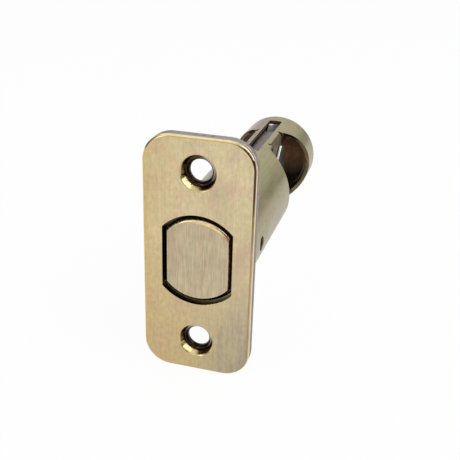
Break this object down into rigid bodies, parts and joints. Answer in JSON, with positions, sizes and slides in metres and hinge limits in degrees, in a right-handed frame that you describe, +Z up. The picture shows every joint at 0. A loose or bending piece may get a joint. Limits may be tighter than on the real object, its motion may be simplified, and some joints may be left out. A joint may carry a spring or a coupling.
{
  "type": "tubular deadbolt latch",
  "caption": "Tubular deadbolt latch: rounded brass faceplate, double-D bolt that slides out of a steel tube, and a crank hub in the tube's large side openings.",
  "frame": {"origin": "centre of the faceplate's front face, midway between the two screw holes", "axes": "+X to the right seen from the front, +Y into the door along the tube, +Z up; the bolt is thrown towards -Y"},
  "size_m": [0.0254, 0.0799, 0.0572],
  "materials": {
    "brushed_brass": "vertically brushed antique brass with a polished bevel",
    "bolt_brass": "brushed brass, slightly greyer than the faceplate",
    "plate_steel": "satin steel",
    "chromated_tube": "satin zinc plate with olive chromate",
    "tail_steel": "rolled steel, satin",
    "crank_steel": "stamped steel with a polished tip",
    "hub_zinc": "die-cast zinc",
    "zinc_plated_steel": "bright zinc plate",
    "spring_steel": "polished spring steel",
    "hardened_steel": "ground",
    "dark_plastic": "dark glossy moulding",
    "brown_plastic": "dark brown moulding"
  },
  "bodies": {
    "case": {"faceplate": "brushed_brass", "back_plate": "plate_steel", "tube": "chromated_tube", "bolt_guide": "dark_plastic", "end_cap": "brown_plastic", "detent_spring": "spring_steel", "spring_rivet": "zinc_plated_steel"},
    "bolt_assembly": {"bolt": "bolt_brass", "pin_plug": "bolt_brass", "tail_bar": "tail_steel", "tail_pin_upper": "zinc_plated_steel", "tail_pin_lower": "zinc_plated_steel"},
    "hub": {"crank_arm": "crank_steel", "hub_right": "hub_zinc", "hub_left": "hub_zinc", "hub_rivet_front": "zinc_plated_steel", "hub_rivet_rear": "zinc_plated_steel"},
    "roller": {"roller_pin": "hardened_steel"}
  },
  "joints": [
    {"name": "bolt_throw", "type": "slide", "parent": "case", "child": "bolt_assembly", "axis": [0, -1, 0], "range_m": [0, 0.0254]},
    {"name": "hub_turn", "type": "hinge", "parent": "case", "child": "hub", "pos_m": [0, 0.0603, 0], "axis": [1, 0, 0], "range_deg": [0, 107.1]},
    {"name": "roller_spin", "type": "hinge", "parent": "bolt_assembly", "child": "roller", "pos_m": [0, 0.017, 0], "axis": [0, 1, 0], "continuous": true}
  ],
  "couplings": [
    {"joint": "hub_turn", "follows": "bolt_throw", "rad_per_m": 73.55}
  ]
}
